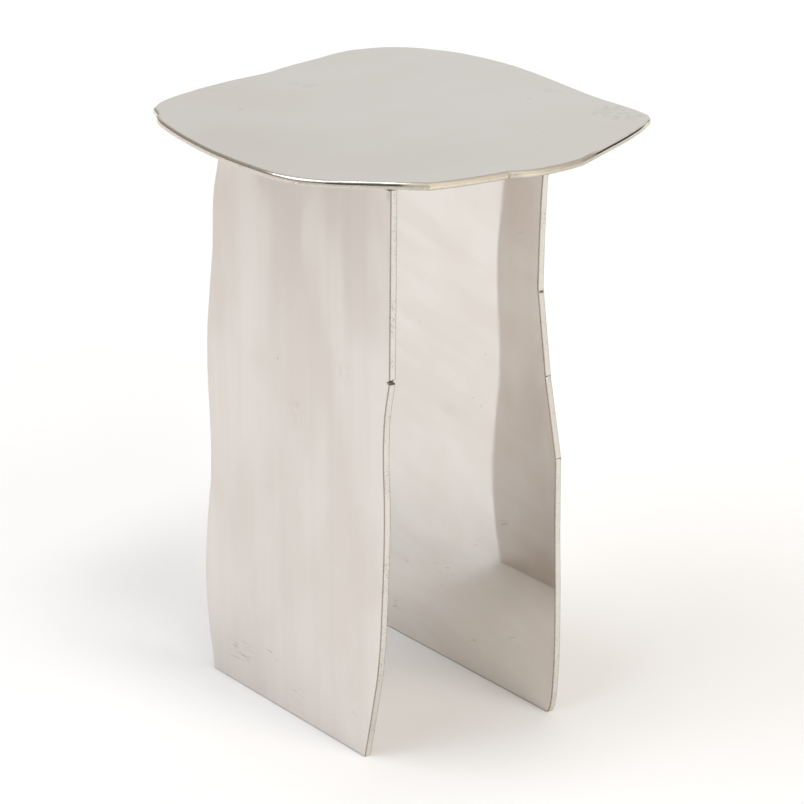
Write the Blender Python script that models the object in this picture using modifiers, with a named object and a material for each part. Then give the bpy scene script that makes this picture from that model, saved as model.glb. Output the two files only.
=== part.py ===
"""Plate side table: a free-form polished top welded onto two upright plate legs.

Metres, +Z up. The origin lies on the floor under the middle of the top, and the front of the
table faces -Y. The plates are cut by hand, so their outlines are short rows of stations that a
soft curve runs through, with a crisp corner where the cut turned and a small bite where it stopped.
"""
import math
from dataclasses import dataclass

import bmesh
import bpy
from mathutils import Matrix

MM = 0.001
PERCENT = 0.01

# Plates
TOP_WIDTH = 336 * MM
TOP_DEPTH = 361 * MM
TOP_THICKNESS = 5 * MM
TOP_UPPER_ROUND = 2.6 * MM
TOP_LOWER_ROUND = 0.6 * MM
LEG_HEIGHT = 450 * MM
LEG_THICKNESS = 6 * MM
LEG_EDGE_ROUND = 0.8 * MM

# Where the legs stand under the top
LEFT_OVERHANG = 47.4 * MM
LEG_SPACING = 148 * MM
LEFT_LEG_SETBACK = 41.5 * MM
RIGHT_LEG_SETBACK = 30.6 * MM
LEFT_LEG_DEPTH = 232.5 * MM
RIGHT_LEG_DEPTH = 236 * MM
RIGHT_LEG_LEAN = math.radians(1.0)
RIGHT_LEG_TURN = math.radians(-0.4)

# Weld beads in the corners between the legs and the top
WELD_WIDTH = 3.4 * MM
WELD_DROP = 5 * MM
WELD_HOLLOW = 0.8
WELD_END_INSET = 0.8 * MM
LEFT_OUTER_WELD_INSET = 5 * MM

# Faces that meet stand this far apart, and a cutter stands this far out of what it cuts
SEAT_GAP = 0.3 * MM
CUTTER_REACH = 2 * MM

# Facets
CURVE_STEPS = 5
ROUND_SEGMENTS = 2
TOP_ROUND_SEGMENTS = 3
SHARP_ANGLE = math.radians(40)
FLAT_ANGLE = math.radians(0.05)
MERGE_DISTANCE = 0.01 * MM

SOFT = "AUTO"
CRISP = "VECTOR"

# Outline of the top, anticlockwise from the front corner, in percent of half its width and depth
TOP_OUTLINE_PERCENT = (
    (-60.2, -87.0, CRISP),
    (-49.2, -90.2, SOFT),
    (-30.7, -93.6, SOFT),
    (-23.7, -94.4, CRISP),
    (-17.3, -97.8, SOFT),
    (-1.0, -100.0, SOFT),
    (12.2, -99.4, CRISP),
    (34.3, -92.2, SOFT),
    (65.8, -80.3, SOFT),
    (76.4, -74.8, SOFT),
    (83.5, -70.0, SOFT),
    (86.0, -64.4, SOFT),
    (87.6, -52.8, SOFT),
    (88.9, -34.0, SOFT),
    (95.0, -1.5, SOFT),
    (98.7, 19.3, SOFT),
    (100.0, 33.3, SOFT),
    (98.2, 57.9, SOFT),
    (93.9, 71.8, SOFT),
    (81.0, 90.8, SOFT),
    (65.2, 98.4, SOFT),
    (55.2, 100.0, SOFT),
    (34.0, 96.9, SOFT),
    (12.0, 93.5, SOFT),
    (2.6, 91.0, SOFT),
    (-24.6, 89.3, SOFT),
    (-55.4, 83.6, SOFT),
    (-69.5, 78.5, SOFT),
    (-76.9, 72.9, CRISP),
    (-81.6, 63.4, CRISP),
    (-83.6, 61.7, CRISP),
    (-86.6, 56.4, SOFT),
    (-91.0, 43.1, SOFT),
    (-96.2, 20.5, SOFT),
    (-99.0, 1.8, SOFT),
    (-100.0, -21.0, SOFT),
    (-98.6, -41.2, SOFT),
    (-93.1, -54.0, SOFT),
    (-75.7, -72.6, SOFT),
)

# Cut edges of the legs: share of the height, set-back from the edge's outermost line, corner
LEFT_FRONT_EDGE = (
    (0.000, 31.7 * MM, CRISP),
    (0.100, 22.0 * MM, SOFT),
    (0.178, 15.3 * MM, SOFT),
    (0.315, 10.3 * MM, SOFT),
    (0.442, 8.0 * MM, SOFT),
    (0.610, 8.1 * MM, SOFT),
    (0.686, 2.0 * MM, CRISP),
    (1.000, 0.0 * MM, CRISP),
)
LEFT_BACK_EDGE = (
    (0.000, 8.7 * MM, CRISP),
    (0.090, 2.5 * MM, SOFT),
    (0.165, 0.0 * MM, SOFT),
    (0.295, 5.3 * MM, SOFT),
    (0.390, 11.3 * MM, SOFT),
    (0.625, 10.8 * MM, SOFT),
    (0.735, 17.0 * MM, SOFT),
    (0.800, 21.2 * MM, SOFT),
    (0.880, 23.6 * MM, SOFT),
    (0.950, 31.0 * MM, SOFT),
    (1.000, 37.0 * MM, CRISP),
)
RIGHT_FRONT_EDGE = (
    (0.000, 7.8 * MM, CRISP),
    (0.009, 5.5 * MM, SOFT),
    (0.022, 3.9 * MM, SOFT),
    (0.045, 2.4 * MM, SOFT),
    (0.160, 0.0 * MM, SOFT),
    (0.365, 0.9 * MM, SOFT),
    (0.478, 0.8 * MM, CRISP),
    (0.612, 12.4 * MM, CRISP),
    (0.768, 21.6 * MM, CRISP),
    (0.920, 18.5 * MM, SOFT),
    (1.000, 14.7 * MM, CRISP),
)
RIGHT_BACK_EDGE = (
    (0.000, 9.0 * MM, CRISP),
    (0.100, 3.0 * MM, SOFT),
    (0.200, 0.0 * MM, SOFT),
    (0.330, 4.0 * MM, SOFT),
    (0.450, 9.0 * MM, SOFT),
    (0.600, 8.0 * MM, SOFT),
    (0.750, 13.0 * MM, SOFT),
    (0.860, 21.0 * MM, SOFT),
    (0.940, 24.0 * MM, SOFT),
    (1.000, 30.0 * MM, CRISP),
)

# Bites in the legs' front edges: share of the height, depth and half width
LEFT_BITES = ((0.686, 3.6 * MM, 2.2 * MM),)
RIGHT_BITES = (
    (0.478, 0.9 * MM, 0.9 * MM),
    (0.617, 1.0 * MM, 1.0 * MM),
    (0.760, 1.2 * MM, 1.0 * MM),
)

# Bites in the top's edge: place in percent of half its width and depth, depth and half width
TOP_BITES = ((-23.9, -94.5, 1.1 * MM, 1.0 * MM),)

SILVER = (0.70, 0.69, 0.67, 1.0)
WELD_SILVER = (0.58, 0.56, 0.53, 1.0)
PLATE_ROUGHNESS = 0.12
WELD_ROUGHNESS = 0.35

# From an outline's plane to a leg's frame: across the sheet to X, along it to Y, up it to Z
STAND_UP = Matrix(((0, 0, 1, 0), (1, 0, 0, 0), (0, 1, 0, 0), (0, 0, 0, 1)))


@dataclass(frozen=True)
class Leg:
    """One upright plate, described in its own frame: X across, Y from its front line, Z up."""

    name: str
    outward: int
    place: tuple
    turn: float
    lean: float
    depth: float
    front_edge: tuple
    back_edge: tuple
    bites: tuple
    outer_weld_inset: float


@dataclass(frozen=True)
class Shelves:
    """The collections that the table's pieces and its cutters go in."""

    pieces: bpy.types.Collection
    cutters: bpy.types.Collection


def clear_scene():
    """Remove whatever the scene holds."""
    for thing in list(bpy.data.objects):
        bpy.data.objects.remove(thing, do_unlink=True)


def add_collection(name):
    """Return a new collection of the scene."""
    collection = bpy.data.collections.new(name)
    bpy.context.scene.collection.children.link(collection)
    return collection


def make_material(name, colour, roughness):
    """Return a metal with a colour and a roughness."""
    material = bpy.data.materials.new(name)
    material.use_nodes = True
    shader = material.node_tree.nodes["Principled BSDF"]
    shader.inputs["Base Color"].default_value = colour
    shader.inputs["Metallic"].default_value = 1.0
    shader.inputs["Roughness"].default_value = roughness
    return material


def extruded_mesh(name, outline, thickness):
    """Return a closed mesh of a flat outline of (x, y, corner) points, thick along Z about its plane."""
    curve = bpy.data.curves.new(name + "_outline", "CURVE")
    curve.dimensions = "2D"
    curve.fill_mode = "BOTH"
    curve.extrude = thickness / 2
    curve.resolution_u = CURVE_STEPS
    curve.render_resolution_u = CURVE_STEPS
    spline = curve.splines.new("BEZIER")
    spline.bezier_points.add(len(outline) - 1)
    spline.use_cyclic_u = True
    for point, (x, y, corner) in zip(spline.bezier_points, outline):
        point.co = (x, y, 0)
        point.handle_left_type = corner
        point.handle_right_type = corner
    guide = bpy.data.objects.new(name + "_outline", curve)
    bpy.context.scene.collection.objects.link(guide)
    depsgraph = bpy.context.evaluated_depsgraph_get()
    mesh = bpy.data.meshes.new_from_object(guide.evaluated_get(depsgraph))
    bpy.data.objects.remove(guide, do_unlink=True)
    mesh.name = name
    solid = bmesh.new()
    solid.from_mesh(mesh)
    bmesh.ops.remove_doubles(solid, verts=solid.verts, dist=MERGE_DISTANCE)
    bmesh.ops.dissolve_limit(solid, angle_limit=FLAT_ANGLE, verts=solid.verts, edges=solid.edges)
    bmesh.ops.recalc_face_normals(solid, faces=solid.faces)
    solid.to_mesh(mesh)
    solid.free()
    return mesh


def add_frame(name, place, turn, collection, parent):
    """Return an empty that carries pieces at a place, turned about the upright axis."""
    frame = bpy.data.objects.new(name, None)
    collection.objects.link(frame)
    frame.parent = parent
    frame.location = place
    frame.rotation_euler = (0, 0, turn)
    return frame


def add_piece(mesh, material, collection, parent):
    """Return a named object for a mesh, shaded smooth between its arrises."""
    piece = bpy.data.objects.new(mesh.name, mesh)
    collection.objects.link(piece)
    piece.parent = parent
    mesh.materials.clear()
    mesh.materials.append(material)
    mesh.shade_smooth()
    mesh.set_sharp_from_angle(angle=SHARP_ANGLE)
    return piece


def round_arrises(piece, radius):
    """Round a plate's arrises alike."""
    rounding = piece.modifiers.new("rounded arrises", "BEVEL")
    rounding.width = radius
    rounding.segments = ROUND_SEGMENTS
    rounding.limit_method = "ANGLE"
    rounding.angle_limit = SHARP_ANGLE


def round_top(piece, seat):
    """Round the top's upper arris well, and only break its lower one, below the plate's middle plane."""
    mesh = piece.data
    shares = mesh.attributes.new("bevel_weight_edge", "FLOAT", "EDGE")
    for edge, share in zip(mesh.edges, shares.data):
        raised = [mesh.vertices[index].co.z > seat for index in edge.vertices]
        if all(raised):
            share.value = 1.0
        elif not any(raised):
            share.value = TOP_LOWER_ROUND / TOP_UPPER_ROUND
    rounding = piece.modifiers.new("rounded arrises", "BEVEL")
    rounding.width = TOP_UPPER_ROUND
    rounding.segments = TOP_ROUND_SEGMENTS
    rounding.limit_method = "WEIGHT"


def cut_bite(piece, cutter_mesh, collection):
    """Cut a bite out of a plate's edge."""
    cutter = bpy.data.objects.new(cutter_mesh.name, cutter_mesh)
    collection.objects.link(cutter)
    cutter.parent = piece.parent
    cutter.hide_render = True
    cutter.display_type = "WIRE"
    cut = piece.modifiers.new(cutter.name, "BOOLEAN")
    cut.operation = "DIFFERENCE"
    cut.solver = "EXACT"
    cut.object = cutter


def wedge_mesh(name, depth, half_width, plate_thickness):
    """Return a wedge that bites into an edge at the origin, pointing along +X, through a flat plate."""
    mouth = half_width * (1 + CUTTER_REACH / depth)
    outline = ((depth, 0, CRISP), (-CUTTER_REACH, mouth, CRISP), (-CUTTER_REACH, -mouth, CRISP))
    return extruded_mesh(name, outline, plate_thickness + 2 * CUTTER_REACH)


def inset_at(stations, up):
    """Return a cut edge's set-back at a share of the height, between its two nearest stations."""
    for (low, low_inset, _), (high, high_inset, _) in zip(stations, stations[1:]):
        if low <= up <= high:
            return low_inset + (high_inset - low_inset) * (up - low) / (high - low)
    return stations[-1][1]


def leg_outline(leg):
    """Return a leg's outline: up its front edge and down its back edge."""
    front = [(inset, up * LEG_HEIGHT, corner) for up, inset, corner in leg.front_edge]
    back = [(leg.depth - inset, up * LEG_HEIGHT, corner) for up, inset, corner in leg.back_edge]
    return front + back[::-1]


def lean_over(mesh, leg):
    """Shear a mesh of a leg's frame inwards with height, so that level faces stay level."""
    slope = Matrix.Identity(4)
    slope[0][2] = -leg.outward * math.tan(leg.lean)
    mesh.transform(slope)


def make_leg(leg, material, shelves, stand):
    """Return a leg's plate, standing on the floor."""
    mesh = extruded_mesh(leg.name + "_plate", leg_outline(leg), LEG_THICKNESS)
    mesh.transform(STAND_UP)
    lean_over(mesh, leg)
    plate = add_piece(mesh, material, shelves.pieces, stand)
    round_arrises(plate, LEG_EDGE_ROUND)
    for number, (up, depth, half_width) in enumerate(leg.bites, start=1):
        wedge = wedge_mesh(f"{leg.name}_bite_{number}", depth, half_width, LEG_THICKNESS)
        on_edge = Matrix.Translation((inset_at(leg.front_edge, up), up * LEG_HEIGHT, 0))
        wedge.transform(STAND_UP @ on_edge)
        lean_over(wedge, leg)
        cut_bite(plate, wedge, shelves.cutters)
    return plate


def make_weld(name, leg, side, material, shelves, stand):
    """Return the fillet bead along a leg's top, on the side of the leg that faces +X or -X."""
    middle = WELD_HOLLOW / 2
    section = (
        (SEAT_GAP, SEAT_GAP, CRISP),
        (WELD_WIDTH, SEAT_GAP, CRISP),
        (middle * (WELD_WIDTH + SEAT_GAP), middle * (WELD_DROP + SEAT_GAP), SOFT),
        (SEAT_GAP, WELD_DROP, CRISP),
    )
    front_inset = leg.outer_weld_inset if side == leg.outward else WELD_END_INSET
    front = inset_at(leg.front_edge, 1.0) + front_inset
    back = leg.depth - inset_at(leg.back_edge, 1.0) - WELD_END_INSET
    mesh = extruded_mesh(name, section, back - front)
    into_corner = Matrix((
        (side, 0, 0, side * LEG_THICKNESS / 2),
        (0, 0, side, (front + back) / 2),
        (0, -1, 0, LEG_HEIGHT + SEAT_GAP),
        (0, 0, 0, 1),
    ))
    mesh.transform(into_corner)
    lean_over(mesh, leg)
    return add_piece(mesh, material, shelves.pieces, stand)


def on_top(x, y):
    """Return the place of a point that is given in percent of half the top's width and depth."""
    return x * PERCENT * TOP_WIDTH / 2, y * PERCENT * TOP_DEPTH / 2


def make_top(material, shelves, table):
    """Return the top plate, seated on the legs."""
    outline = [(*on_top(x, y), corner) for x, y, corner in TOP_OUTLINE_PERCENT]
    mesh = extruded_mesh("top_plate", outline, TOP_THICKNESS)
    seat = LEG_HEIGHT + SEAT_GAP + TOP_THICKNESS / 2
    mesh.transform(Matrix.Translation((0, 0, seat)))
    plate = add_piece(mesh, material, shelves.pieces, table)
    round_top(plate, seat)
    for number, (x, y, depth, half_width) in enumerate(TOP_BITES, start=1):
        wedge = wedge_mesh(f"top_bite_{number}", depth, half_width, TOP_THICKNESS)
        place_x, place_y = on_top(x, y)
        to_middle = Matrix.Rotation(math.atan2(-place_y, -place_x), 4, "Z")
        wedge.transform(Matrix.Translation((place_x, place_y, seat)) @ to_middle)
        cut_bite(plate, wedge, shelves.cutters)
    return plate


def make_legs():
    """Return the two legs, placed from the top's left and front edges."""
    left_middle = -TOP_WIDTH / 2 + LEFT_OVERHANG + LEG_THICKNESS / 2
    right_middle = left_middle + LEG_SPACING + LEG_THICKNESS
    left = Leg(
        name="left_leg",
        outward=-1,
        place=(left_middle, -TOP_DEPTH / 2 + LEFT_LEG_SETBACK, 0),
        turn=0.0,
        lean=0.0,
        depth=LEFT_LEG_DEPTH,
        front_edge=LEFT_FRONT_EDGE,
        back_edge=LEFT_BACK_EDGE,
        bites=LEFT_BITES,
        outer_weld_inset=LEFT_OUTER_WELD_INSET,
    )
    right = Leg(
        name="right_leg",
        outward=1,
        place=(right_middle, -TOP_DEPTH / 2 + RIGHT_LEG_SETBACK, 0),
        turn=RIGHT_LEG_TURN,
        lean=RIGHT_LEG_LEAN,
        depth=RIGHT_LEG_DEPTH,
        front_edge=RIGHT_FRONT_EDGE,
        back_edge=RIGHT_BACK_EDGE,
        bites=RIGHT_BITES,
        outer_weld_inset=WELD_END_INSET,
    )
    return left, right


def main():
    """Build the table."""
    clear_scene()
    shelves = Shelves(add_collection("plate_side_table"), add_collection("cutters"))
    table = add_frame("table", (0, 0, 0), 0.0, shelves.pieces, None)
    make_top(make_material("top_polish", SILVER, PLATE_ROUGHNESS), shelves, table)
    for leg in make_legs():
        stand = add_frame(leg.name + "_stand", leg.place, leg.turn, shelves.pieces, table)
        make_leg(leg, make_material(leg.name + "_polish", SILVER, PLATE_ROUGHNESS), shelves, stand)
        for word, side in (("outer", leg.outward), ("inner", -leg.outward)):
            name = f"{leg.name}_{word}_weld"
            bead = make_material(name + "_metal", WELD_SILVER, WELD_ROUGHNESS)
            make_weld(name, leg, side, bead, shelves, stand)


main()
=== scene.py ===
"""Looks of the plate side table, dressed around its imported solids.

Three polished plates are copied from their solids, their cut rims are refined and worked over as a
hand-guided cut leaves them, and each gets a finish for its faces, its arrises and its rim. Rippled
weld beads are laid in the corners under the top. The studio has a plain pale floor, a soft sky with
a few large glows in it, one overhead lamp, and the camera at the photograph's angle.
"""

import logging
import math
from dataclasses import dataclass
from enum import Enum

import bpy
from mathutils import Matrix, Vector


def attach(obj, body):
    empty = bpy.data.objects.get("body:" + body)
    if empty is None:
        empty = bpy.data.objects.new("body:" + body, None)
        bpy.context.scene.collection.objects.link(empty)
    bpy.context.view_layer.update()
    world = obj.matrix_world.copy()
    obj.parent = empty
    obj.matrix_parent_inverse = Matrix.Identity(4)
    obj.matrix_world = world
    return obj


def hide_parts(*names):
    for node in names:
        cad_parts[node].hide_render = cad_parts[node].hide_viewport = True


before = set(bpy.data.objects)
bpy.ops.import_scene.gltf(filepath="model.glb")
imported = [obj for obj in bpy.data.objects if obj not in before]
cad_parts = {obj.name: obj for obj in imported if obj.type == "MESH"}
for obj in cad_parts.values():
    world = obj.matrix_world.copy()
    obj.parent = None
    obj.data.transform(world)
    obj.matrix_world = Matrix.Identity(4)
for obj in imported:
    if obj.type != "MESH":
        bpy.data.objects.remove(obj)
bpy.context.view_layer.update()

LOG = logging.getLogger("plate_side_table")

MM = 0.001
BODY = "root"
PHOTO_WIDTH = 804
SENSOR_WIDTH = 36.0

Colour = tuple[float, float, float]
Place = tuple[float, float, float]
Socket = bpy.types.NodeSocket


class Across(Enum):
    """The axis that a plate is thin along."""

    X = (1.0, 0.0, 0.0)
    Z = (0.0, 0.0, 1.0)


class Zone(Enum):
    """The parts of a plate's surface, in the order of its materials."""

    FACE = 0
    ARRIS = 1
    RIM = 2


class Pick(Enum):
    """What edit mode picks, in the order of its switches."""

    VERTICES = 0
    EDGES = 1
    FACES = 2


class Combine(Enum):
    """How two numbers become one."""

    PRODUCT = "MULTIPLY"
    TOTAL = "ADD"
    GREATER = "MAXIMUM"


class Side(Enum):
    """The side of a leg that a bead is on, as a sign along X."""

    LEFT = -1
    RIGHT = 1


class MarkKind(Enum):
    """What a surface mark looks like."""

    # Soft dull patches also carry painted shade.
    SMUDGE = "soft dull patch"
    STAIN = "mottled dull patch"
    RING = "mottled ring"
    SCUFF = "bunch of short scratches"
    CHATTER = "row of fine tool ripples"
    SPECK = "small dark dot or line"


@dataclass(frozen=True)
class Mark:
    """One mark on a face, in an ellipsoid about its middle.

    Attributes:
        kind: What it looks like.
        middle: Its middle, in millimetres.
        reach: Half its size along X, Y and Z, in millimetres.
        strength: How far it dulls the metal, and how dark it paints it where it is painted shade, from
            0 to 1.
    """

    kind: MarkKind
    middle: Place
    reach: Place
    strength: float


class NodeBench:
    """Lays out the nodes of one node tree."""

    def __init__(self, tree: bpy.types.NodeTree) -> None:
        """Keep the tree to lay nodes in."""
        self.tree = tree

    def feed(self, target: Socket, value: "Socket | float | tuple") -> None:
        """Link a socket to a target, or set the target to a constant.

        Args:
            target: The input to fill.
            value: An output to link, or a constant.
        """
        if isinstance(value, bpy.types.NodeSocket):
            self.tree.links.new(value, target)
        elif isinstance(value, tuple) and len(value) == 3 and target.type == "RGBA":
            target.default_value = (*value, 1.0)
        else:
            target.default_value = value

    def ramp(
        self, value: Socket, low: float, high: float, start: float = 0.0, end: float = 1.0
    ) -> Socket:
        """Return a value drawn out smoothly from one range to another.

        Args:
            value: What to draw out.
            low: The value that becomes start.
            high: The value that becomes end.
            start: The result at low.
            end: The result at high.

        Returns:
            The result, held between start and end.
        """
        node = self.tree.nodes.new("ShaderNodeMapRange")
        node.interpolation_type = "SMOOTHSTEP"
        self.feed(node.inputs["Value"], value)
        for name, number in (("From Min", low), ("From Max", high), ("To Min", start), ("To Max", end)):
            node.inputs[name].default_value = number
        return node.outputs["Result"]

    def maths(self, how: Combine, first: "Socket | float", second: "Socket | float") -> Socket:
        """Return two numbers combined into one.

        Args:
            how: How they are combined.
            first: A number.
            second: Another number.

        Returns:
            The combined number.
        """
        node = self.tree.nodes.new("ShaderNodeMath")
        node.operation = how.value
        self.feed(node.inputs[0], first)
        self.feed(node.inputs[1], second)
        return node.outputs["Value"]

    def dot(self, first: Socket, second: Place) -> Socket:
        """Return the dot product of two vectors.

        Args:
            first: A linked vector.
            second: A constant vector.

        Returns:
            Their dot product.
        """
        node = self.tree.nodes.new("ShaderNodeVectorMath")
        node.operation = "DOT_PRODUCT"
        self.feed(node.inputs[0], first)
        self.feed(node.inputs[1], second)
        return node.outputs["Value"]

    def mix(
        self, share: "Socket | float", first: "Socket | Colour", second: "Socket | Colour"
    ) -> Socket:
        """Return a colour between two.

        Args:
            share: How much of the second there is.
            first: The colour at 0.
            second: The colour at 1.

        Returns:
            The mixed colour.
        """
        node = self.tree.nodes.new("ShaderNodeMix")
        node.data_type = "RGBA"
        self.feed(node.inputs["Factor"], share)
        self.feed(node.inputs["A"], first)
        self.feed(node.inputs["B"], second)
        return node.outputs["Result"]


class MetalBench(NodeBench):
    """Lays out one metal's material on Object coordinates."""

    RADIANS_PER_UNIT = 20.0
    RIPPLE_WOBBLE = 1.5
    SPOT_FULL = 0.2
    RING_CREST = 0.75
    RING_HOLLOW = 0.3
    HOLLOW_SHARE = 0.25

    def __init__(self, name: str) -> None:
        """Start a metal.

        Args:
            name: The material's name.
        """
        self.material = bpy.data.materials.new(name)
        self.material.use_nodes = True
        super().__init__(self.material.node_tree)
        self.shader = self.tree.nodes["Principled BSDF"]
        self.shader.inputs["Metallic"].default_value = 1.0
        coordinates = self.tree.nodes.new("ShaderNodeTexCoord")
        self.place = coordinates.outputs["Object"]
        self.normal = coordinates.outputs["Normal"]

    def mapped(self, middle: Place, size: Place, turn: float = 0.0) -> Socket:
        """Return Object coordinates about a middle, counted in sizes.

        Args:
            middle: The new origin, in metres.
            size: The length of one unit along X, Y and Z, in metres.
            turn: A turn of the pattern about X, in radians.

        Returns:
            The mapped coordinates.
        """
        node = self.tree.nodes.new("ShaderNodeMapping")
        node.vector_type = "TEXTURE"
        node.inputs["Location"].default_value = middle
        node.inputs["Rotation"].default_value = (turn, 0.0, 0.0)
        node.inputs["Scale"].default_value = size
        self.tree.links.new(self.place, node.inputs["Vector"])
        return node.outputs["Vector"]

    def grain(self, size: Place, detail: float = 2.0, turn: float = 0.0) -> Socket:
        """Return a noise.

        Args:
            size: The size of its grains along X, Y and Z, in metres.
            detail: How many finer layers it has.
            turn: A turn of the grains about X, in radians.

        Returns:
            The noise, from 0 to 1.
        """
        node = self.tree.nodes.new("ShaderNodeTexNoise")
        node.inputs["Scale"].default_value = 1.0
        node.inputs["Detail"].default_value = detail
        self.feed(node.inputs["Vector"], self.mapped((0.0, 0.0, 0.0), size, turn))
        return node.outputs["Fac"]

    def ripple(self, size: float, turn: float) -> Socket:
        """Return fine parallel waves that are level across Y.

        A wave texture runs through a fixed number of radians in one unit of its coordinates, and its
        scale is set so that one wave fills one unit.

        Args:
            size: Their wavelength, in metres.
            turn: Their turn about X, in radians.

        Returns:
            The waves, from 0 to 1.
        """
        node = self.tree.nodes.new("ShaderNodeTexWave")
        node.wave_type = "BANDS"
        node.bands_direction = "Z"
        node.inputs["Scale"].default_value = math.tau / self.RADIANS_PER_UNIT
        node.inputs["Distortion"].default_value = self.RIPPLE_WOBBLE
        node.inputs["Detail"].default_value = 1.0
        self.feed(node.inputs["Vector"], self.mapped((0.0, 0.0, 0.0), (size, size, size), turn))
        return node.outputs["Fac"]

    def bump(self, height: Socket, depth: float, below: "Socket | None" = None) -> Socket:
        """Return a normal that is bumped by a height.

        Args:
            height: The height, from 0 to 1.
            depth: The depth that a height of 1 stands for, in metres.
            below: A bumped normal to lay this one on.

        Returns:
            The normal.
        """
        node = self.tree.nodes.new("ShaderNodeBump")
        node.inputs["Distance"].default_value = depth
        self.feed(node.inputs["Height"], height)
        if below is not None:
            self.feed(node.inputs["Normal"], below)
        return node.outputs["Normal"]

    def spot(self, mark: Mark) -> Socket:
        """Return a soft mask over a mark, from 0 outside it to 1 where it is full.

        Args:
            mark: The mark.

        Returns:
            The mask, hollow in the middle for a ring.
        """
        middle = tuple(value * MM for value in mark.middle)
        reach = tuple(value * MM for value in mark.reach)
        node = self.tree.nodes.new("ShaderNodeVectorMath")
        node.operation = "LENGTH"
        self.feed(node.inputs[0], self.mapped(middle, reach))
        away = node.outputs["Value"]
        if mark.kind is MarkKind.RING:
            outside = self.ramp(away, 1.0, self.RING_CREST)
            inside = self.ramp(away, self.RING_HOLLOW, self.RING_CREST, self.HOLLOW_SHARE)
            return self.maths(Combine.PRODUCT, outside, inside)
        return self.ramp(away, 1.0, self.SPOT_FULL)

    def wear_and_shade(self, marks: tuple[Mark, ...], patterns: dict[MarkKind, Socket]) -> Socket:
        """Return how far a face's marks dull it, painted shade among them.

        Args:
            marks: The marks.
            patterns: What each kind of mark is filled with, where it isn't plain.

        Returns:
            The dulling, from 0 to 1.
        """
        total = 0.0
        for mark in marks:
            dulling = self.maths(Combine.PRODUCT, self.spot(mark), mark.strength)
            if mark.kind in patterns:
                dulling = self.maths(Combine.PRODUCT, dulling, patterns[mark.kind])
            total = self.maths(Combine.GREATER, dulling, total)
        return total


@dataclass(frozen=True)
class FaceFinish:
    """The polish of a plate's flat faces.

    Attributes:
        name: The material's name.
        bright: The metal's colour where it is cleanest.
        cloudy: Its colour in the soft clouds.
        banded: Its colour in long soft bands.
        dulled_and_shaded: Its colour in marks, both dull marks and painted shade.
        roughness: The polish's roughness.
        cloud_size: The size of the clouds along X, Y and Z, in metres.
        band_size: The size of the bands along X, Y and Z, in metres.
        band_turn: The turn of the bands about X, in radians.
        wave_depth: The depth of the plate's long waves, in metres.
        grain_size: The size of the fine polishing lines along X, Y and Z, in metres.
        grain_depth: Their depth, in metres.
        marks: The marks on the faces.
        scratch_turn: The turn of the scuffs' scratches about X, in radians.
    """

    name: str
    bright: Colour
    cloudy: Colour
    banded: Colour
    dulled_and_shaded: Colour
    roughness: float
    cloud_size: Place
    band_size: Place
    band_turn: float
    wave_depth: float
    grain_size: Place
    grain_depth: float
    marks: tuple[Mark, ...]
    scratch_turn: float = 0.0

    WAVE_SIZE = (90 * MM, 90 * MM, 90 * MM)
    MOTTLE_SIZE = (6 * MM, 6 * MM, 6 * MM)
    SCRATCH_SIZE = (2 * MM, 13 * MM, 1.4 * MM)
    STREAK_SIZE = (6 * MM, 8 * MM, 5 * MM)
    CHATTER_PITCH = 3 * MM
    CHATTER_TURN = math.radians(7)
    MARK_ROUGHNESS = 0.1
    CLOUD_SPAN = (0.38, 0.66)
    BAND_SPAN = (0.4, 0.64)
    BAND_SHARE = 0.6
    MOTTLE_SPAN = (0.4, 0.62)
    STREAK_SPAN = (0.45, 0.6)
    RIPPLE_SPAN = (0.3, 0.9)
    SCRATCH_SPAN = (0.56, 0.68)
    CLEAN_POLISH = 0.85
    CLOUDY_POLISH = 1.2

    def patterns(self, bench: MetalBench) -> dict[MarkKind, Socket]:
        """Return what fills each kind of mark that isn't plain.

        Args:
            bench: The bench to lay nodes on.

        Returns:
            A pattern from 0 to 1 for each kind.
        """
        mottle = bench.ramp(bench.grain(self.MOTTLE_SIZE, detail=4.0), *self.MOTTLE_SPAN)
        streaks = bench.ramp(bench.grain(self.STREAK_SIZE, detail=1.0), *self.STREAK_SPAN)
        ripples = bench.ramp(bench.ripple(self.CHATTER_PITCH, self.CHATTER_TURN), *self.RIPPLE_SPAN)
        scratch_grain = bench.grain(self.SCRATCH_SIZE, turn=self.scratch_turn)
        return {
            MarkKind.STAIN: mottle,
            MarkKind.RING: mottle,
            MarkKind.SCUFF: bench.ramp(scratch_grain, *self.SCRATCH_SPAN),
            MarkKind.CHATTER: bench.maths(Combine.PRODUCT, ripples, streaks),
        }

    def material(self) -> bpy.types.Material:
        """Lay the finish out as a material.

        Returns:
            The material.
        """
        bench = MetalBench(self.name)
        clouds = bench.ramp(bench.grain(self.cloud_size, detail=3.0), *self.CLOUD_SPAN)
        band_grain = bench.grain(self.band_size, turn=self.band_turn)
        bands = bench.ramp(band_grain, *self.BAND_SPAN, end=self.BAND_SHARE)
        wear_and_shade = bench.wear_and_shade(self.marks, self.patterns(bench))
        colour = bench.mix(clouds, self.bright, self.cloudy)
        colour = bench.mix(bands, colour, self.banded)
        # Marks dull the colour here, and those that stand for shade paint it darker.
        colour = bench.mix(wear_and_shade, colour, self.dulled_and_shaded)
        clean = self.roughness * self.CLEAN_POLISH
        cloudy = self.roughness * self.CLOUDY_POLISH
        polish = bench.ramp(clouds, 0.0, 1.0, clean, cloudy)
        worn = bench.maths(Combine.PRODUCT, wear_and_shade, self.MARK_ROUGHNESS)
        roughness = bench.maths(Combine.TOTAL, polish, worn)
        waves = bench.bump(bench.grain(self.WAVE_SIZE, detail=1.0), self.wave_depth)
        lines = bench.bump(bench.grain(self.grain_size, detail=3.0), self.grain_depth, waves)
        bench.feed(bench.shader.inputs["Base Color"], colour)
        bench.feed(bench.shader.inputs["Roughness"], roughness)
        bench.feed(bench.shader.inputs["Normal"], lines)
        return bench.material


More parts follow.
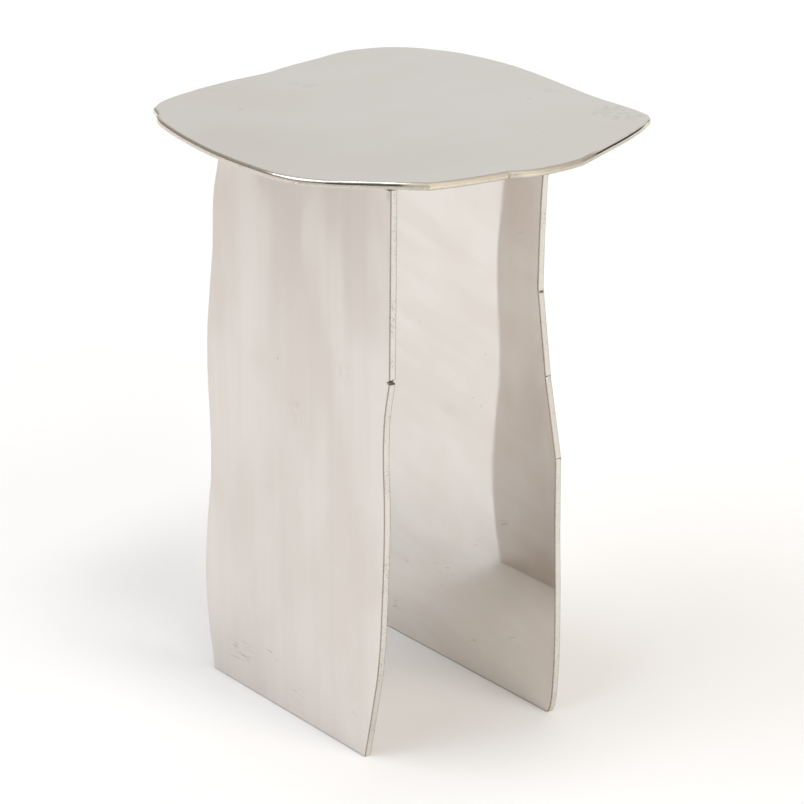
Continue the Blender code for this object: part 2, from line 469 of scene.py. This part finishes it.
@dataclass(frozen=True)
class CutFinish:
    """The bare metal of a cut: a rim, an arris or a weld bead, with a painted reflection where it faces
    left.

    Attributes:
        name: The material's name.
        bright: The metal's colour.
        painted_left_reflection: Its colour where it faces the left side, a painted reflection of the
            floor on that side.
        tarnished: Its colour in tarnished flecks.
        roughness: Its roughness.
        fleck_size: The size of the flecks, in metres.
        fleck_depth: The depth of the fine pitting, in metres.
        dull: Its colour where it was left unpolished.
        dull_span: Where an unpolished stretch starts and ends along X, in metres, if there is one.
        dull_roughness: The roughness of that stretch.
    """

    name: str
    bright: Colour
    painted_left_reflection: Colour
    tarnished: Colour
    roughness: float
    fleck_size: float
    fleck_depth: float
    dull: Colour = (0.50, 0.465, 0.40)
    dull_span: "tuple[float, float] | None" = None
    dull_roughness: float = 0.6

    DRIFT_SIZE = (30 * MM, 30 * MM, 30 * MM)
    LEFTWARD = (-1.0, 0.0, 0.0)
    RIGHTWARD = (1.0, 0.0, 0.0)
    FADE = 20 * MM
    DRIFT_SPAN = (0.35, 0.65)
    TARNISH_SPAN = (0.48, 0.75)
    LEFT_REFLECTION_SPAN = (0.85, 0.99)
    FLECK_SPAN = (0.3, 0.7)
    SMOOTHER = 0.8
    ROUGHER = 1.3

    def unpolished(self, bench: MetalBench) -> "Socket | float":
        """Return where the cut was left unpolished.

        Args:
            bench: The bench to lay nodes on.

        Returns:
            A mask, from 0 to 1 in the unpolished stretch.
        """
        if self.dull_span is None:
            return 0.0
        start, end = self.dull_span
        along = bench.dot(bench.place, self.RIGHTWARD)
        after_start = bench.ramp(along, start - self.FADE, start)
        before_end = bench.ramp(along, end, end - self.FADE)
        return bench.maths(Combine.PRODUCT, after_start, before_end)

    def material(self) -> bpy.types.Material:
        """Lay the finish out as a material.

        Returns:
            The material.
        """
        bench = MetalBench(self.name)
        flecks = bench.grain((self.fleck_size,) * 3, detail=4.0)
        drift = bench.ramp(bench.grain(self.DRIFT_SIZE), *self.DRIFT_SPAN)
        tarnish = bench.maths(Combine.PRODUCT, bench.ramp(flecks, *self.TARNISH_SPAN), drift)
        # Painted reflection: where the cut faces left it takes its own colour, standing in for the
        # floor that it would reflect there.
        left_reflection_share = bench.ramp(bench.dot(bench.normal, self.LEFTWARD), *self.LEFT_REFLECTION_SPAN)
        unpolished = self.unpolished(bench)
        colour = bench.mix(left_reflection_share, self.bright, self.painted_left_reflection)
        colour = bench.mix(unpolished, colour, self.dull)
        colour = bench.mix(tarnish, colour, self.tarnished)
        smooth = self.roughness * self.SMOOTHER
        rough = self.roughness * self.ROUGHER
        polish = bench.ramp(flecks, *self.FLECK_SPAN, smooth, rough)
        dulling = bench.maths(Combine.PRODUCT, unpolished, self.dull_roughness)
        roughness = bench.maths(Combine.GREATER, polish, dulling)
        bench.feed(bench.shader.inputs["Base Color"], colour)
        bench.feed(bench.shader.inputs["Roughness"], roughness)
        bench.feed(bench.shader.inputs["Normal"], bench.bump(flecks, self.fleck_depth))
        return bench.material


def pick(piece: bpy.types.Object) -> None:
    """Make a piece the only selected object, and the active one.

    Args:
        piece: The piece.
    """
    bpy.ops.object.select_all(action="DESELECT")
    piece.select_set(True)
    bpy.context.view_layer.objects.active = piece


def edit(picked: Pick) -> None:
    """Switch the active object to edit mode, to pick vertices, edges or faces."""
    bpy.context.tool_settings.mesh_select_mode = [kind is picked for kind in Pick]
    bpy.ops.object.mode_set(mode="EDIT")


def pick_edges(piece: bpy.types.Object, picked: list[bool]) -> None:
    """Switch to edit mode with only some of a piece's edges picked.

    Args:
        piece: The piece.
        picked: Whether each edge is picked.
    """
    pick(piece)
    mesh = piece.data
    mesh.polygons.foreach_set("select", [False] * len(mesh.polygons))
    mesh.vertices.foreach_set("select", [False] * len(mesh.vertices))
    mesh.edges.foreach_set("select", picked)
    edit(Pick.EDGES)


def pick_faces(piece: bpy.types.Object, picked: list[bool]) -> None:
    """Switch to edit mode with only some of a piece's faces picked.

    Args:
        piece: The piece.
        picked: Whether each face is picked.
    """
    pick(piece)
    mesh = piece.data
    mesh.vertices.foreach_set("select", [False] * len(mesh.vertices))
    mesh.edges.foreach_set("select", [False] * len(mesh.edges))
    mesh.polygons.foreach_set("select", picked)
    edit(Pick.FACES)


def leave_edit() -> None:
    """Go back to object mode."""
    bpy.ops.object.mode_set(mode="OBJECT")


def apply_all(piece: bpy.types.Object) -> None:
    """Apply a piece's modifiers in their order.

    Args:
        piece: The piece.
    """
    pick(piece)
    for name in [modifier.name for modifier in piece.modifiers]:
        bpy.ops.object.modifier_apply(modifier=name)


def hand_over(piece: bpy.types.Object, node: str) -> None:
    """Tie a finished piece to the body, and hide the solid that it stands for.

    Args:
        piece: The piece.
        node: The solid that it stands for.
    """
    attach(piece, BODY)
    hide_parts(node)
    LOG.info("%s: %d faces", piece.name, len(piece.data.polygons))


@dataclass
class Plate:
    """A flat plate, copied from its solid and given a worked rim.

    Attributes:
        node: The solid that it stands for.
        slot: The record's material slot, which is not used.
        across: The axis that it is thin along.
        finishes: The finish of each zone of its surface.
        step: The longest edge along the refined rim, in metres.
        facet_size: The size of the flats that the cutting hand left along the rim, in metres.
        facet_depth: Their depth, in metres.
        groove_size: The size of the cut's fine grooves, in metres.
        groove_depth: Their depth, in metres.
    """

    node: str
    slot: str
    across: Across
    finishes: "dict[Zone, FaceFinish | CutFinish]"
    step: float = 1.0 * MM
    facet_size: float = 14.0 * MM
    facet_depth: float = 0.2 * MM
    groove_size: float = 1.6 * MM
    groove_depth: float = 0.06 * MM

    FLAT = 0.999
    SIDE = 0.08
    MERGE = 0.005 * MM
    STRETCH = 60.0
    HALVINGS = 10
    ALONG = 0.2
    QUAD_BEND = math.radians(50)
    QUAD_SKEW = math.radians(70)
    LARGE_FACES_RULE = 100

    def build(self) -> bpy.types.Object:
        """Build the plate and dress it.

        Returns:
            The finished plate.
        """
        piece = self.copied()
        self.open_flats(piece)
        self.refine_rim(piece)
        self.close_flats(piece)
        self.work_rim(piece)
        self.dress(piece)
        hand_over(piece, self.node)
        return piece

    def copied(self) -> bpy.types.Object:
        """Copy the plate's solid and merge its loose triangles.

        Returns:
            The merged copy.
        """
        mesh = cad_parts[self.node].data.copy()
        mesh.materials.clear()
        piece = bpy.data.objects.new(self.node + "_dressed", mesh)
        bpy.context.scene.collection.objects.link(piece)
        pick(piece)
        bpy.ops.mesh.customdata_custom_splitnormals_clear()
        edit(Pick.VERTICES)
        bpy.ops.mesh.select_all(action="SELECT")
        bpy.ops.mesh.remove_doubles(threshold=self.MERGE)
        leave_edit()
        return piece

    def zone(self, polygon: bpy.types.MeshPolygon) -> Zone:
        """Return the zone that a face is in, from how far it faces across the plate.

        Args:
            polygon: The face.

        Returns:
            Its zone.
        """
        facing = abs(polygon.normal.dot(Vector(self.across.value)))
        if facing > self.FLAT:
            return Zone.FACE
        return Zone.ARRIS if facing > self.SIDE else Zone.RIM

    def open_flats(self, piece: bpy.types.Object) -> None:
        """Take away the flat sides, and make the rim's triangles quads.

        Args:
            piece: The plate.
        """
        pick_faces(piece, [self.zone(polygon) is Zone.FACE for polygon in piece.data.polygons])
        bpy.ops.mesh.delete(type="FACE")
        bpy.ops.mesh.select_all(action="SELECT")
        bpy.ops.mesh.tris_convert_to_quads(
            face_threshold=self.QUAD_BEND, shape_threshold=self.QUAD_SKEW
        )
        leave_edit()

    def refine_rim(self, piece: bpy.types.Object) -> None:
        """Halve the edges that run along the rim until none is longer than the step.

        Args:
            piece: The plate.
        """
        across = Vector(self.across.value)
        for _ in range(self.HALVINGS):
            places = [vertex.co for vertex in piece.data.vertices]
            runs = [places[edge.vertices[1]] - places[edge.vertices[0]] for edge in piece.data.edges]
            picked = [
                run.length > self.step and abs(run.dot(across)) < self.ALONG * run.length
                for run in runs
            ]
            if not any(picked):
                break
            pick_edges(piece, picked)
            bpy.ops.mesh.subdivide(number_cuts=1, quadcorner="STRAIGHT_CUT")
            leave_edit()

    def close_flats(self, piece: bpy.types.Object) -> None:
        """Close each flat side again with one face.

        Args:
            piece: The plate.
        """
        pick(piece)
        edit(Pick.EDGES)
        bpy.ops.mesh.select_all(action="DESELECT")
        bpy.ops.mesh.select_non_manifold()
        bpy.ops.mesh.fill_holes(sides=0)
        bpy.ops.mesh.select_all(action="SELECT")
        bpy.ops.mesh.normals_make_consistent(inside=False)
        leave_edit()

    def vertices_in(self, piece: bpy.types.Object, zones: tuple[Zone, ...]) -> set[int]:
        """Return the vertices of all faces in some zones.

        Args:
            piece: The plate.
            zones: The zones.

        Returns:
            The vertices' numbers.
        """
        polygons = [polygon for polygon in piece.data.polygons if self.zone(polygon) in zones]
        return {index for polygon in polygons for index in polygon.vertices}

    def work_rim(self, piece: bpy.types.Object) -> None:
        """Press the cut's flats into the whole rim, and its fine grooves into the sides alone.

        Args:
            piece: The plate.
        """
        flat = self.vertices_in(piece, (Zone.FACE,))
        rim = self.vertices_in(piece, (Zone.ARRIS, Zone.RIM)) - flat
        sides = rim - self.vertices_in(piece, (Zone.ARRIS,))
        guide = bpy.data.objects.new(self.node + "_guide", None)
        bpy.context.scene.collection.objects.link(guide)
        guide.scale = [self.STRETCH if value else 1.0 for value in self.across.value]
        for name, worked, size, depth in (
            ("facets", rim, self.facet_size, self.facet_depth),
            ("grooves", sides, self.groove_size, self.groove_depth),
        ):
            group = piece.vertex_groups.new(name=name)
            group.add(list(worked), 1.0, "REPLACE")
            clouds = bpy.data.textures.new(f"{self.node}_{name}", "CLOUDS")
            clouds.noise_scale = size
            clouds.noise_depth = 1
            press = piece.modifiers.new(name, "DISPLACE")
            press.texture = clouds
            press.texture_coords = "OBJECT"
            press.texture_coords_object = guide
            press.vertex_group = group.name
            press.strength = depth
            press.mid_level = 1.0
        apply_all(piece)
        bpy.data.objects.remove(guide, do_unlink=True)

    def dress(self, piece: bpy.types.Object) -> None:
        """Give each zone its finish, and shade the rim round without bending the flats.

        Args:
            piece: The plate.
        """
        for zone in Zone:
            piece.data.materials.append(self.finishes[zone].material())
        for polygon in piece.data.polygons:
            polygon.material_index = self.zone(polygon).value
        pick(piece)
        bpy.ops.object.shade_smooth()
        weighted = piece.modifiers.new("flat sides stay flat", "WEIGHTED_NORMAL")
        weighted.mode = "FACE_AREA"
        weighted.weight = self.LARGE_FACES_RULE
        apply_all(piece)


@dataclass
class WeldBead:
    """A rippled fillet bead in the corner between a leg and the top.

    Attributes:
        node: The solid that it stands for.
        slot: The record's material slot, which is not used.
        side: The side of the leg that it is on.
        finish: Its finish.
        pitch: The distance from one ripple to the next, in metres.
        inset: How far the bead stops short of the solid's front and back ends, in metres.
        shrink: How far the bead stays inside the solid's slope, in metres.
        voxel: The size of the cells that the ripples are fused with, in metres.
    """

    node: str
    slot: str
    side: Side
    finish: CutFinish
    pitch: float = 2.4 * MM
    inset: float = 7.0 * MM
    shrink: float = 0.8 * MM
    voxel: float = 0.35 * MM

    END = 1.0 * MM
    SMOOTHINGS = 3
    RIPPLE_SEGMENTS = 24
    RIPPLE_RINGS = 16
    CREASE = math.radians(50)
    UPWARD = (0.0, 0.0, 1.0)

    def build(self) -> bpy.types.Object:
        """Build the bead and dress it.

        Returns:
            The finished bead.
        """
        corners = [vertex.co.copy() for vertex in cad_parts[self.node].data.vertices]
        top = max(corner.z for corner in corners)
        drop = top - min(corner.z for corner in corners)
        front = self.root_at(corners, min(corner.y for corner in corners), top)
        back = self.root_at(corners, max(corner.y for corner in corners), top)
        ends = [corner for corner in corners if abs(corner.y - front.y) < self.END]
        reach = max(abs(corner.x - front.x) for corner in ends)
        run = back - front
        piece = self.rippled(run.length, reach, drop)
        self.trim(piece, (-self.side.value, 0.0, 0.0))
        self.trim(piece, self.UPWARD)
        piece.rotation_euler.z = -math.atan2(run.x, run.y)
        piece.location = front
        pick(piece)
        bpy.ops.object.transform_apply(location=True, rotation=True, scale=True)
        bpy.ops.object.shade_smooth_by_angle(angle=self.CREASE)
        piece.data.materials.append(self.finish.material())
        hand_over(piece, self.node)
        return piece

    def root_at(self, corners: list[Vector], end: float, top: float) -> Vector:
        """Return the bead's inmost point at one of its ends.

        Args:
            corners: The solid's corners.
            end: The end's place along Y.
            top: The solid's top.

        Returns:
            The point where the leg and the top meet.
        """
        near = [corner for corner in corners if abs(corner.y - end) < self.END]
        outward = self.side.value
        return Vector((outward * min(outward * corner.x for corner in near), end, top))

    def rippled(self, length: float, reach: float, drop: float) -> bpy.types.Object:
        """Return a row of ripples along Y, fused into one bead about its root line.

        Args:
            length: The bead's length.
            reach: How far it reaches out along the top.
            drop: How far it reaches down along the leg.

        Returns:
            The bead, with its root line on the Y axis.
        """
        bpy.ops.object.select_all(action="DESELECT")
        bpy.ops.mesh.primitive_uv_sphere_add(
            segments=self.RIPPLE_SEGMENTS, ring_count=self.RIPPLE_RINGS, radius=1.0
        )
        piece = bpy.context.object
        piece.name = self.node + "_bead"
        edit(Pick.VERTICES)
        bpy.ops.mesh.select_all(action="SELECT")
        size = (reach - self.shrink, self.pitch, drop - self.shrink)
        bpy.ops.transform.resize(value=size, center_override=(0.0, 0.0, 0.0))
        bpy.ops.transform.translate(value=(0.0, self.pitch + self.inset, 0.0))
        leave_edit()
        row = piece.modifiers.new("row", "ARRAY")
        row.use_relative_offset = False
        row.use_constant_offset = True
        row.constant_offset_displace = (0.0, self.pitch, 0.0)
        row.count = round((length - 2 * self.inset) / self.pitch) - 1
        fuse = piece.modifiers.new("fuse", "REMESH")
        fuse.mode = "VOXEL"
        fuse.voxel_size = self.voxel
        melt = piece.modifiers.new("melt", "SMOOTH")
        melt.iterations = self.SMOOTHINGS
        apply_all(piece)
        return piece

    def trim(self, piece: bpy.types.Object, away: Place) -> None:
        """Cut off what lies beyond a plane through the root line, and close the cut.

        Args:
            piece: The bead, with its root line on the Y axis.
            away: The way out of the plane, to the side that is cut off.
        """
        pick(piece)
        edit(Pick.VERTICES)
        bpy.ops.mesh.select_all(action="SELECT")
        bpy.ops.mesh.bisect(
            plane_co=(0.0, 0.0, 0.0), plane_no=away, use_fill=True, clear_outer=True
        )
        leave_edit()


@dataclass(frozen=True)
class Glow:
    """A round soft light in the sky, or a dark place in it.

    Attributes:
        heading: Where it is, in degrees clockwise from +Y as seen from above.
        height: How high it stands over the horizon, in degrees.
        core: The radius that it is full within, in degrees.
        edge: The radius that it ends at, in degrees.
        colour: Its brightness in red, green and blue.
    """

    heading: float
    height: float
    core: float
    edge: float
    colour: Colour

    def direction(self) -> Place:
        """Work out where the glow is seen.

        Returns:
            The direction towards its middle.
        """
        heading = math.radians(self.heading)
        height = math.radians(self.height)
        level = math.cos(height)
        return (level * math.sin(heading), level * math.cos(heading), math.sin(height))


GLOWS = (
    Glow(heading=58, height=22, core=10, edge=58, colour=(0.81, 0.80, 0.785)),
    Glow(heading=178, height=24, core=24, edge=36, colour=(2.7, 2.5, 2.2)),
    Glow(heading=-66, height=50, core=18, edge=31, colour=(2.05, 2.15, 2.3)),
    Glow(heading=-128, height=24, core=16, edge=26, colour=(0.10, 0.10, 0.09)),
    Glow(heading=95, height=9, core=8, edge=20, colour=(0.08, 0.07, 0.06)),
    Glow(heading=0, height=86, core=5, edge=11, colour=(5.0, 5.1, 5.3)),
)


@dataclass
class Studio:
    """The floor, the light and the camera.

    Attributes:
        focal_pixels: The camera's focal length, in pixels of the photograph.
        eye: The camera's place, in metres.
        pitch: How far the camera looks down, in degrees.
        heading: How far the camera looks to the right of +Y, in degrees.
        floor_reach: The floor's radius, in metres.
        floor_sides: How many sides the floor's outline has.
        floor_colour: The floor's colour.
        horizon: The sky's colour near the horizon.
        zenith: The sky's colour overhead.
        glows: The glows in the sky.
        lamp_strength: The overhead lamp's strength, in watts per square metre.
        lamp_angle: How wide the overhead lamp is, in degrees.
        lamp_tilt: How far it stands to the front of straight overhead, in degrees.
        lamp_height: How high it hangs, in metres, which doesn't change its light.
    """

    focal_pixels: float = 2621.15
    eye: Place = (-1.2128, -1.4624, 0.9601)
    pitch: float = 21.166
    heading: float = 39.783
    floor_reach: float = 9.0
    floor_sides: int = 96
    floor_colour: Colour = (0.88, 0.88, 0.88)
    horizon: Colour = (0.36, 0.32, 0.28)
    zenith: Colour = (0.50, 0.475, 0.45)
    glows: tuple[Glow, ...] = GLOWS
    lamp_strength: float = 0.52
    lamp_angle: float = 14.0
    lamp_tilt: float = 21.0
    lamp_height: float = 2.0

    LOW_SKY = math.sin(math.radians(22))
    HIGH_SKY = math.sin(math.radians(50))

    def build(self) -> None:
        """Set up the studio."""
        self.add_camera()
        self.add_floor()
        self.add_sky()
        self.add_lamp()

    def add_camera(self) -> None:
        """Stand the camera where the photograph was taken."""
        data = bpy.data.cameras.new("camera")
        data.sensor_width = SENSOR_WIDTH
        data.lens = self.focal_pixels / PHOTO_WIDTH * SENSOR_WIDTH
        camera = bpy.data.objects.new("camera", data)
        bpy.context.scene.collection.objects.link(camera)
        camera.location = self.eye
        camera.rotation_euler = (math.radians(90 - self.pitch), 0.0, math.radians(-self.heading))
        bpy.context.scene.camera = camera

    def add_floor(self) -> None:
        """Lay the pale floor."""
        bpy.ops.object.select_all(action="DESELECT")
        bpy.ops.mesh.primitive_circle_add(
            vertices=self.floor_sides, radius=self.floor_reach, fill_type="NGON"
        )
        floor = bpy.context.object
        floor.name = "floor"
        material = bpy.data.materials.new("floor_paper")
        material.use_nodes = True
        shader = material.node_tree.nodes["Principled BSDF"]
        shader.inputs["Base Color"].default_value = (*self.floor_colour, 1.0)
        shader.inputs["Roughness"].default_value = 1.0
        shader.inputs["Specular IOR Level"].default_value = 0.0
        floor.data.materials.append(material)

    def add_sky(self) -> None:
        """Hang the soft sky with its glows."""
        world = bpy.data.worlds.new("sky")
        world.use_nodes = True
        bpy.context.scene.world = world
        bench = NodeBench(world.node_tree)
        towards = bench.tree.nodes.new("ShaderNodeTexCoord").outputs["Generated"]
        rise = bench.dot(towards, (0.0, 0.0, 1.0))
        sky = bench.mix(bench.ramp(rise, self.LOW_SKY, self.HIGH_SKY), self.horizon, self.zenith)
        for glow in self.glows:
            edge = math.cos(math.radians(glow.edge))
            core = math.cos(math.radians(glow.core))
            share = bench.ramp(bench.dot(towards, glow.direction()), edge, core)
            sky = bench.mix(share, sky, glow.colour)
        bench.feed(bench.tree.nodes["Background"].inputs["Color"], sky)

    def add_lamp(self) -> None:
        """Hang the overhead lamp, tilted to the front."""
        data = bpy.data.lights.new("overhead", "SUN")
        data.energy = self.lamp_strength
        data.angle = math.radians(self.lamp_angle)
        lamp = bpy.data.objects.new("overhead", data)
        bpy.context.scene.collection.objects.link(lamp)
        lamp.location = (0.0, 0.0, self.lamp_height)
        lamp.rotation_euler.x = math.radians(self.lamp_tilt)


# Where marked faces lie, in millimetres: the left leg's outer face along X, and the top along Z
LEFT_SKIN = -121
TOP_SKIN = 455

LEFT_MARKS = (
    Mark(MarkKind.CHATTER, (LEFT_SKIN, -83, 417), (8, 13, 24), 0.2),
    Mark(MarkKind.CHATTER, (LEFT_SKIN, -57, 412), (8, 16, 13), 0.16),
    Mark(MarkKind.CHATTER, (LEFT_SKIN, -126, 432), (8, 10, 17), 0.18),
    Mark(MarkKind.CHATTER, (LEFT_SKIN, -71, 349), (8, 10, 14), 0.18),
    Mark(MarkKind.CHATTER, (LEFT_SKIN, -90, 384), (8, 9, 15), 0.15),
    Mark(MarkKind.CHATTER, (LEFT_SKIN, -118, 401), (8, 19, 14), 0.14),
    Mark(MarkKind.STAIN, (LEFT_SKIN, 11, 403), (8, 15, 13), 0.14),
    Mark(MarkKind.STAIN, (LEFT_SKIN, -9, 373), (8, 12, 15), 0.12),
    Mark(MarkKind.STAIN, (LEFT_SKIN, 28, 359), (8, 9, 8), 0.12),
    Mark(MarkKind.STAIN, (LEFT_SKIN, -36, 354), (8, 12, 14), 0.14),
    Mark(MarkKind.STAIN, (LEFT_SKIN, -87, 302), (8, 13, 12), 0.16),
    Mark(MarkKind.STAIN, (LEFT_SKIN, -28, 258), (8, 12, 18), 0.14),
    Mark(MarkKind.SPECK, (LEFT_SKIN, -7, 291), (3, 1.3, 1.3), 0.7),
    # Painted shade: the left leg's outer face darkens towards its top, where it reflects a farther,
    # dimmer floor.
    Mark(MarkKind.SMUDGE, (LEFT_SKIN, -30, 455), (10, 170, 170), 0.2),
    # Painted shadow: a dark patch at the left leg's front top corner, in the nook under the top by the
    # weld.
    Mark(MarkKind.SMUDGE, (LEFT_SKIN, -138, 446), (6, 7, 8), 0.45),
    Mark(MarkKind.SCUFF, (LEFT_SKIN, 50, 30), (8, 24, 18), 0.65),
    Mark(MarkKind.SCUFF, (LEFT_SKIN, 5, 42), (8, 13, 7), 0.65),
    Mark(MarkKind.SCUFF, (LEFT_SKIN, -26, 19), (8, 12, 11), 0.6),
    Mark(MarkKind.SCUFF, (LEFT_SKIN, -90, 30), (8, 12, 8), 0.55),
    Mark(MarkKind.SCUFF, (LEFT_SKIN, -68, 17), (8, 8, 10), 0.55),
    Mark(MarkKind.SCUFF, (LEFT_SKIN, 7, 181), (8, 7, 5), 0.35),
)

RIGHT_MARKS = (
    Mark(MarkKind.SPECK, (29, -70, 277), (4, 1.4, 1.4), 0.5),
    Mark(MarkKind.SPECK, (30, -55, 237), (4, 1.4, 1.4), 0.5),
    Mark(MarkKind.SPECK, (30, -65, 233), (4, 1.4, 1.4), 0.5),
    Mark(MarkKind.SPECK, (29, 8, 282), (4, 1.3, 1.3), 0.5),
    Mark(MarkKind.SMUDGE, (30, -27, 220), (8, 18, 10), 0.08),
    Mark(MarkKind.SCUFF, (27, -106, 386), (8, 9, 6), 0.6),
    Mark(MarkKind.SCUFF, (33, 25, 68), (8, 10, 6), 0.7),
    Mark(MarkKind.SCUFF, (33, -18, 79), (8, 18, 9), 0.6),
    Mark(MarkKind.SCUFF, (32, -58, 116), (8, 10, 7), 0.6),
    Mark(MarkKind.SCUFF, (31, -94, 143), (8, 13, 6), 0.6),
    Mark(MarkKind.SCUFF, (33, -104, 48), (8, 15, 7), 0.7),
    Mark(MarkKind.SCUFF, (34, -55, 28), (8, 8, 5), 0.65),
    Mark(MarkKind.SCUFF, (34, 42, 24), (8, 12, 8), 0.7),
)

TOP_MARKS = (
    # Two broad faint patches darken the top towards its left and its front left.
    Mark(MarkKind.SMUDGE, (-125, 10, TOP_SKIN), (75, 120, 4), 0.07),
    Mark(MarkKind.SMUDGE, (-70, -110, TOP_SKIN), (85, 70, 4), 0.07),
    Mark(MarkKind.RING, (130, -105, TOP_SKIN), (25, 24, 4), 0.26),
    Mark(MarkKind.STAIN, (128, -103, TOP_SKIN), (22, 21, 4), 0.24),
    Mark(MarkKind.SMUDGE, (134, -25, TOP_SKIN), (12, 12, 4), 0.1),
    Mark(MarkKind.STAIN, (0, 113, TOP_SKIN), (17, 21, 4), 0.14),
    Mark(MarkKind.SPECK, (105, -30, TOP_SKIN), (1.8, 1.8, 4), 0.5),
    Mark(MarkKind.SPECK, (48, -108, TOP_SKIN), (1.8, 1.8, 4), 0.35),
    Mark(MarkKind.SPECK, (-65, 143, TOP_SKIN), (2, 2, 4), 0.45),
    Mark(MarkKind.SPECK, (-45, 139, TOP_SKIN), (2, 2, 4), 0.35),
    Mark(MarkKind.SPECK, (-82, 85, TOP_SKIN), (2.5, 2.5, 4), 0.35),
    Mark(MarkKind.SPECK, (-15, 1, TOP_SKIN), (1.5, 1.5, 4), 0.3),
    Mark(MarkKind.SPECK, (-123, -3, TOP_SKIN), (0.8, 12, 4), 0.25),
    Mark(MarkKind.SPECK, (-34, -148, TOP_SKIN), (6, 0.8, 4), 0.25),
)

TOP_FACE = FaceFinish(
    name="top_face_polish",
    bright=(0.74, 0.715, 0.675),
    cloudy=(0.725, 0.69, 0.645),
    banded=(0.72, 0.695, 0.65),
    dulled_and_shaded=(0.42, 0.38, 0.34),
    roughness=0.16,
    cloud_size=(110 * MM, 110 * MM, 110 * MM),
    band_size=(160 * MM, 60 * MM, 60 * MM),
    band_turn=0.0,
    wave_depth=0.03 * MM,
    grain_size=(0.6 * MM, 30 * MM, 5 * MM),
    grain_depth=0.0006 * MM,
    marks=TOP_MARKS,
)

LEFT_FACE = FaceFinish(
    name="left_face_satin",
    bright=(0.74, 0.705, 0.675),
    cloudy=(0.725, 0.68, 0.645),
    banded=(0.705, 0.66, 0.625),
    dulled_and_shaded=(0.44, 0.39, 0.345),
    roughness=0.38,
    cloud_size=(70 * MM, 50 * MM, 120 * MM),
    band_size=(60 * MM, 16 * MM, 420 * MM),
    band_turn=0.0,
    wave_depth=0.03 * MM,
    grain_size=(5 * MM, 0.7 * MM, 40 * MM),
    grain_depth=0.0008 * MM,
    marks=LEFT_MARKS,
)

RIGHT_FACE = FaceFinish(
    name="right_face_polish",
    bright=(0.755, 0.725, 0.69),
    cloudy=(0.735, 0.69, 0.65),
    banded=(0.71, 0.66, 0.615),
    dulled_and_shaded=(0.42, 0.37, 0.33),
    roughness=0.045,
    cloud_size=(70 * MM, 60 * MM, 60 * MM),
    band_size=(80 * MM, 140 * MM, 26 * MM),
    band_turn=math.radians(9),
    wave_depth=0.015 * MM,
    grain_size=(5 * MM, 0.7 * MM, 40 * MM),
    grain_depth=0.0004 * MM,
    marks=RIGHT_MARKS,
    scratch_turn=math.radians(-24),
)

TOP_RIM = CutFinish(
    name="top_rim",
    bright=(0.62, 0.585, 0.51),
    painted_left_reflection=(0.68, 0.63, 0.59),
    tarnished=(0.46, 0.40, 0.32),
    roughness=0.3,
    fleck_size=1.6 * MM,
    fleck_depth=0.015 * MM,
)

TOP_ARRIS = CutFinish(
    name="top_arris",
    bright=(0.74, 0.71, 0.65),
    painted_left_reflection=(0.74, 0.70, 0.66),
    tarnished=(0.52, 0.47, 0.40),
    roughness=0.12,
    fleck_size=2.2 * MM,
    fleck_depth=0.006 * MM,
    dull_span=(-104 * MM, 50 * MM),
)

LEG_RIM = CutFinish(
    name="leg_rim",
    bright=(0.73, 0.70, 0.66),
    painted_left_reflection=(0.73, 0.69, 0.66),
    tarnished=(0.36, 0.32, 0.28),
    roughness=0.32,
    fleck_size=1.2 * MM,
    fleck_depth=0.015 * MM,
)

# The legs' arrises are painted much darker than their metal: a painted dark reflection line along each
# edge, with tarnished flecks in it.
LEG_ARRIS_PAINTED_DARK = CutFinish(
    name="leg_arris_painted_dark",
    bright=(0.37, 0.33, 0.285),
    painted_left_reflection=(0.40, 0.36, 0.32),
    tarnished=(0.22, 0.19, 0.16),
    roughness=0.3,
    fleck_size=2.2 * MM,
    fleck_depth=0.008 * MM,
)

BEAD = CutFinish(
    name="weld_bead",
    bright=(0.62, 0.59, 0.53),
    painted_left_reflection=(0.62, 0.58, 0.54),
    tarnished=(0.36, 0.31, 0.26),
    roughness=0.38,
    fleck_size=2.4 * MM,
    fleck_depth=0.03 * MM,
)


def zones(face: FaceFinish, arris: CutFinish, rim: CutFinish) -> "dict[Zone, FaceFinish | CutFinish]":
    """Return the finishes of a plate's zones."""
    return {Zone.FACE: face, Zone.ARRIS: arris, Zone.RIM: rim}


def main() -> None:
    """Dress the table, piece by piece, and set up the studio."""
    logging.basicConfig(level=logging.INFO, format="%(name)s: %(message)s")
    bpy.context.scene.view_settings.view_transform = "Standard"
    Studio().build()
    plates = (
        Plate("top_plate", "top_polish", Across.Z, zones(TOP_FACE, TOP_ARRIS, TOP_RIM)),
        Plate("left_leg_plate", "leg_polish", Across.X, zones(LEFT_FACE, LEG_ARRIS_PAINTED_DARK, LEG_RIM)),
        Plate("right_leg_plate", "leg_polish", Across.X, zones(RIGHT_FACE, LEG_ARRIS_PAINTED_DARK, LEG_RIM)),
    )
    beads = (
        WeldBead("left_leg_outer_weld", "weld_metal", Side.LEFT, BEAD, inset=22.0 * MM),
        WeldBead("left_leg_inner_weld", "weld_metal", Side.RIGHT, BEAD),
        WeldBead("right_leg_inner_weld", "weld_metal", Side.LEFT, BEAD),
        WeldBead("right_leg_outer_weld", "weld_metal", Side.RIGHT, BEAD),
    )
    for piece in plates + beads:
        piece.build()


if __name__ == "__main__":
    main()
